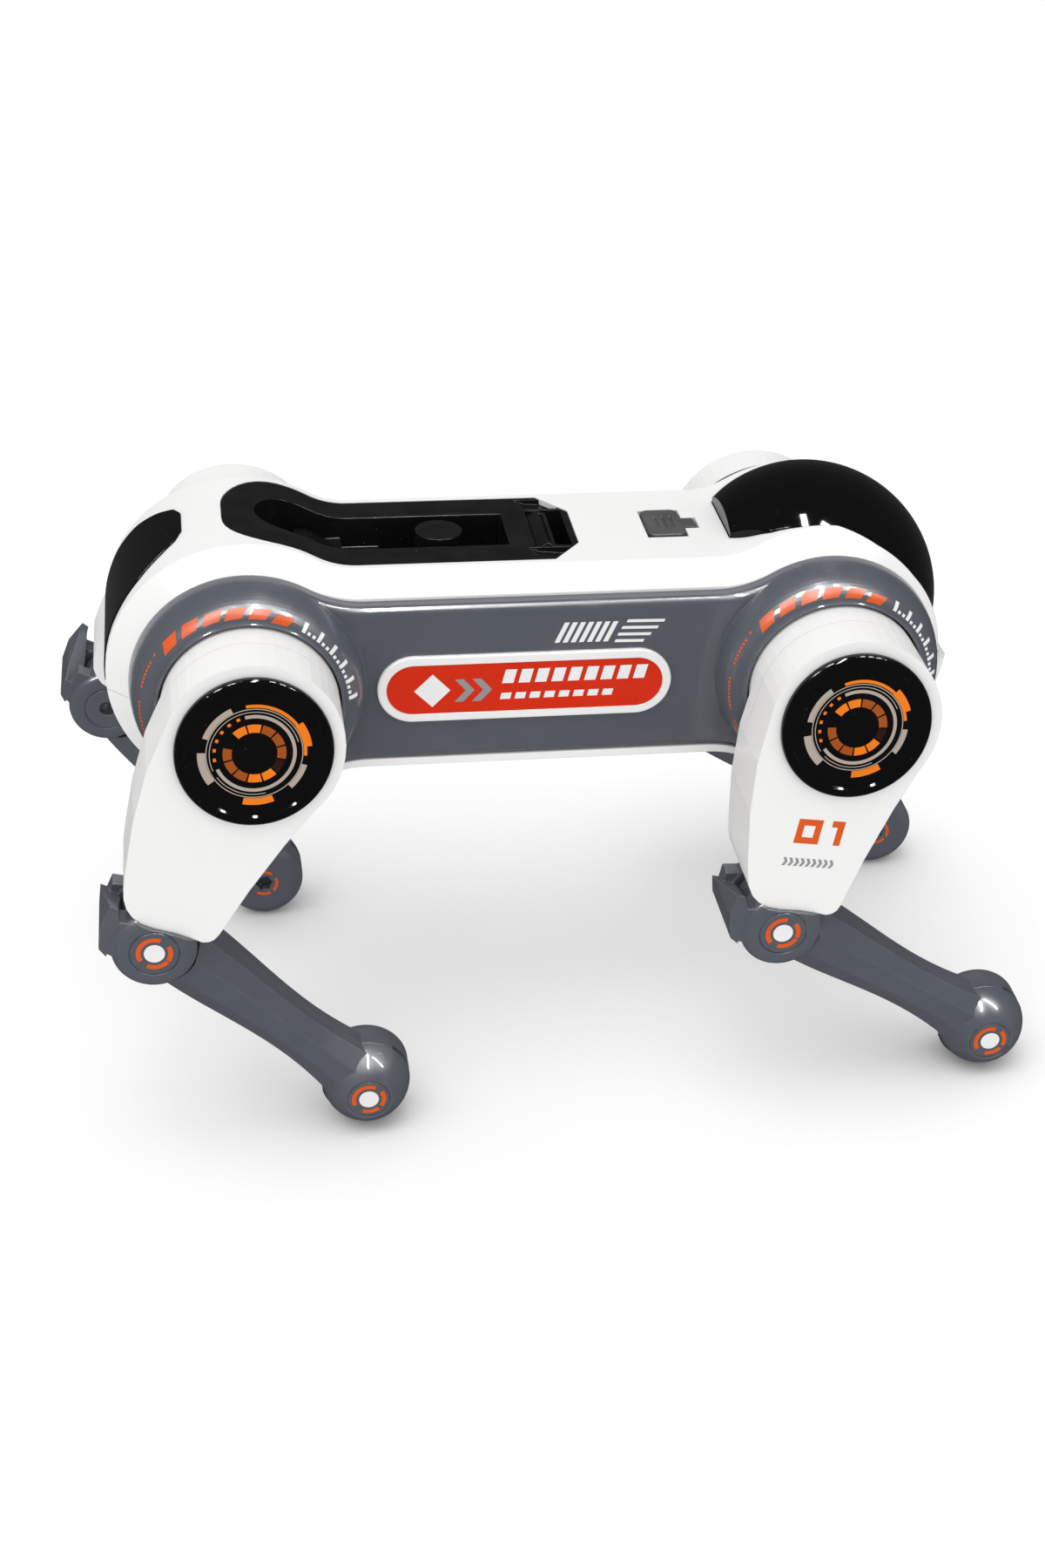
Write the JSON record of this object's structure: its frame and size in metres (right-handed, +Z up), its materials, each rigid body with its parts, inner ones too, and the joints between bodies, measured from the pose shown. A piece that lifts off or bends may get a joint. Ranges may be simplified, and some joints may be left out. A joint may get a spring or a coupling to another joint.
{
  "type": "quadruped robot dog",
  "caption": "Toy robot dog: dog-bone body with a black visor, open accessory bay on the back, gear-driven hips, hinged knees and ball feet, standing with bent knees.",
  "frame": {"origin": "on the ground under the middle of the overall length and on the body's symmetry plane", "axes": "+X towards the visor (nose), +Y to the robot's left, +Z up; the body leans 2.25 degrees nose down"},
  "size_m": [0.3824, 0.204, 0.2313],
  "materials": {
    "white_plastic": "gloss, moulded, lightly handled",
    "grey_plastic": "gloss, slate grey",
    "black_gloss": "high gloss, smoked black",
    "black_plastic": "satin to gloss black",
    "badge_red": "gloss red face in a white raised border",
    "soft_rubber": "matt, soft",
    "steel": "zinc plated",
    "board_green": "circuit board with parts",
    "battery_wrap": "blue shrink wrap",
    "drive_plastic": "natural gear case plastic",
    "clear_diffuser": "milky light bar"
  },
  "bodies": {
    "torso": {"upper_shell": "white_plastic", "lower_shell": "white_plastic", "side_panel_left": "grey_plastic", "side_panel_right": "grey_plastic", "visor": "black_gloss", "tail_cover": "black_gloss", "light_bar": "clear_diffuser", "accessory_tray": "black_plastic", "charge_socket": "black_plastic", "control_board": "board_green", "battery_pack": "battery_wrap", "battery_door": "white_plastic", "speaker": "black_plastic", "body_screws": "steel", "side_badges": "badge_red", "hip_drive_rear_right": "drive_plastic", "hip_drive_front_right": "drive_plastic", "hip_drive_rear_left": "drive_plastic", "hip_drive_front_left": "drive_plastic"},
    "latch": {"tray_latch": "black_plastic"},
    "port_flap": {"charge_flap": "soft_rubber"},
    "switch_knob": {"power_switch": "black_plastic"},
    "thigh_rear_right": {"thigh_outer_rear_right": "white_plastic", "thigh_inner_rear_right": "white_plastic", "hip_cap_rear_right": "black_gloss", "knee_yoke_rear_right": "grey_plastic", "knee_pin_rear_right": "steel", "thigh_screws_rear_right": "steel"},
    "shin_rear_right": {"shin_outer_rear_right": "grey_plastic", "shin_inner_rear_right": "grey_plastic", "foot_tread_rear_right": "soft_rubber"},
    "thigh_front_right": {"thigh_outer_front_right": "white_plastic", "thigh_inner_front_right": "white_plastic", "hip_cap_front_right": "black_gloss", "knee_yoke_front_right": "grey_plastic", "knee_pin_front_right": "steel", "thigh_screws_front_right": "steel"},
    "shin_front_right": {"shin_outer_front_right": "grey_plastic", "shin_inner_front_right": "grey_plastic", "foot_tread_front_right": "soft_rubber"},
    "thigh_rear_left": {"thigh_outer_rear_left": "white_plastic", "thigh_inner_rear_left": "white_plastic", "hip_cap_rear_left": "black_gloss", "knee_yoke_rear_left": "grey_plastic", "knee_pin_rear_left": "steel", "thigh_screws_rear_left": "steel"},
    "shin_rear_left": {"shin_outer_rear_left": "grey_plastic", "shin_inner_rear_left": "grey_plastic", "foot_tread_rear_left": "soft_rubber"},
    "thigh_front_left": {"thigh_outer_front_left": "white_plastic", "thigh_inner_front_left": "white_plastic", "hip_cap_front_left": "black_gloss", "knee_yoke_front_left": "grey_plastic", "knee_pin_front_left": "steel", "thigh_screws_front_left": "steel"},
    "shin_front_left": {"shin_outer_front_left": "grey_plastic", "shin_inner_front_left": "grey_plastic", "foot_tread_front_left": "soft_rubber"}
  },
  "joints": [
    {"name": "hip_rear_right", "type": "hinge", "parent": "torso", "child": "thigh_rear_right", "pos_m": [-0.11351, -0.075, 0.17765], "axis": [0, 1, 0], "range_deg": [-31.4, 18.6]},
    {"name": "knee_rear_right", "type": "hinge", "parent": "thigh_rear_right", "child": "shin_rear_right", "pos_m": [-0.15571, -0.083, 0.10042], "axis": [0, 1, 0], "range_deg": [-4, 36.5]},
    {"name": "hip_front_right", "type": "hinge", "parent": "torso", "child": "thigh_front_right", "pos_m": [0.10832, -0.075, 0.16893], "axis": [0, 1, 0], "range_deg": [-19.8, 30.2]},
    {"name": "knee_front_right", "type": "hinge", "parent": "thigh_front_right", "child": "shin_front_right", "pos_m": [0.08251, -0.083, 0.0848], "axis": [0, 1, 0], "range_deg": [-4.9, 35.6]},
    {"name": "hip_rear_left", "type": "hinge", "parent": "torso", "child": "thigh_rear_left", "pos_m": [-0.11351, 0.075, 0.17765], "axis": [0, 1, 0], "range_deg": [-45.3, 4.7]},
    {"name": "knee_rear_left", "type": "hinge", "parent": "thigh_rear_left", "child": "shin_rear_left", "pos_m": [-0.17302, 0.083, 0.11282], "axis": [0, 1, 0], "range_deg": [-0.4, 40.1]},
    {"name": "hip_front_left", "type": "hinge", "parent": "torso", "child": "thigh_front_left", "pos_m": [0.10832, 0.075, 0.16893], "axis": [0, 1, 0], "range_deg": [-22, 28]},
    {"name": "knee_front_left", "type": "hinge", "parent": "thigh_front_left", "child": "shin_front_left", "pos_m": [0.0793, 0.083, 0.08585], "axis": [0, 1, 0], "range_deg": [-3.4, 37.1]},
    {"name": "latch_slide", "type": "slide", "parent": "torso", "child": "latch", "axis": [0.9992, 0, -0.0393], "range_m": [0, 0.0022], "stiffness_N_per_m": 300},
    {"name": "flap_hinge", "type": "hinge", "parent": "torso", "child": "port_flap", "pos_m": [0.06415, 0, 0.2113], "axis": [0, 1, 0], "range_deg": [0, 100]},
    {"name": "switch_slide", "type": "slide", "parent": "torso", "child": "switch_knob", "axis": [0.9992, 0, -0.0393], "range_m": [0, 0.0038]}
  ]
}
